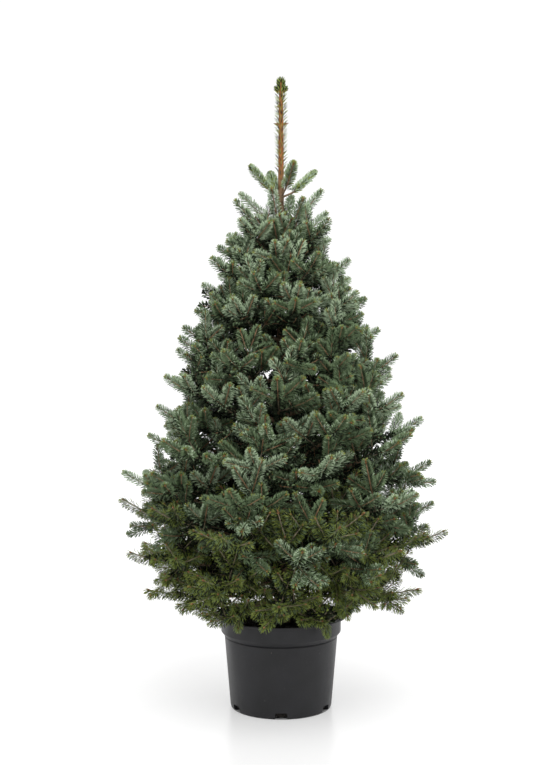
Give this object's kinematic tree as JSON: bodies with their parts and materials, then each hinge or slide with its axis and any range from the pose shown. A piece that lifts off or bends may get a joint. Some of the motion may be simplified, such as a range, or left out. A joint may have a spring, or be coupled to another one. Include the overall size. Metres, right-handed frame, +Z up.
{
  "type": "potted serbian spruce",
  "caption": "Young Serbian spruce with a straight trunk, a bare leader and whorls of blue-green needle sprays, standing in a round dark nursery pot with drain notches.",
  "frame": {"origin": "middle of the pot's flat underside, on the surface that the pot stands on", "axes": "+Z up along the trunk to the leader's tip; the front of the picture's view faces -Y, with +X to its right"},
  "size_m": [0.697, 0.6875, 1.354],
  "materials": {
    "pot_plastic": "satin",
    "compost": "matte",
    "bark": "matte",
    "olive_needles": "matte",
    "blue_green_needles": "matte"
  },
  "bodies": {
    "root": {"pot": "pot_plastic", "soil": "compost", "trunk": "bark", "leader_spray": "blue_green_needles", "bough_1_1": "bark", "bough_1_2": "bark", "bough_1_3": "bark", "bough_1_4": "bark", "bough_1_5": "bark", "bough_2_1": "bark", "bough_2_2": "bark", "bough_2_3": "bark", "bough_2_4": "bark", "bough_2_5": "bark", "foliage_1_1": "olive_needles", "foliage_1_2": "olive_needles", "foliage_1_3": "olive_needles", "foliage_1_4": "olive_needles", "foliage_1_5": "olive_needles", "foliage_2_1": "olive_needles", "foliage_2_2": "olive_needles", "foliage_2_3": "olive_needles", "foliage_2_4": "olive_needles", "foliage_2_5": "olive_needles", "foliage_3_1": "olive_needles", "foliage_3_2": "olive_needles", "foliage_3_3": "olive_needles", "foliage_3_4": "olive_needles", "foliage_3_5": "olive_needles", "foliage_4_1": "blue_green_needles", "foliage_4_2": "blue_green_needles", "foliage_4_3": "blue_green_needles", "foliage_4_4": "blue_green_needles", "foliage_4_5": "blue_green_needles", "foliage_5_1": "blue_green_needles", "foliage_5_2": "blue_green_needles", "foliage_5_3": "blue_green_needles", "foliage_5_4": "blue_green_needles", "foliage_5_5": "blue_green_needles", "foliage_6_1": "blue_green_needles", "foliage_6_2": "blue_green_needles", "foliage_6_3": "blue_green_needles", "foliage_6_4": "blue_green_needles", "foliage_6_5": "blue_green_needles", "foliage_7_1": "blue_green_needles", "foliage_7_2": "blue_green_needles", "foliage_7_3": "blue_green_needles", "foliage_7_4": "blue_green_needles", "foliage_8_1": "blue_green_needles", "foliage_8_2": "blue_green_needles", "foliage_8_3": "blue_green_needles", "foliage_8_4": "blue_green_needles", "foliage_9_1": "blue_green_needles", "foliage_9_2": "blue_green_needles", "foliage_9_3": "blue_green_needles", "foliage_9_4": "blue_green_needles", "foliage_10_1": "blue_green_needles", "foliage_10_2": "blue_green_needles", "foliage_10_3": "blue_green_needles", "foliage_10_4": "blue_green_needles"}
  },
  "joints": []
}
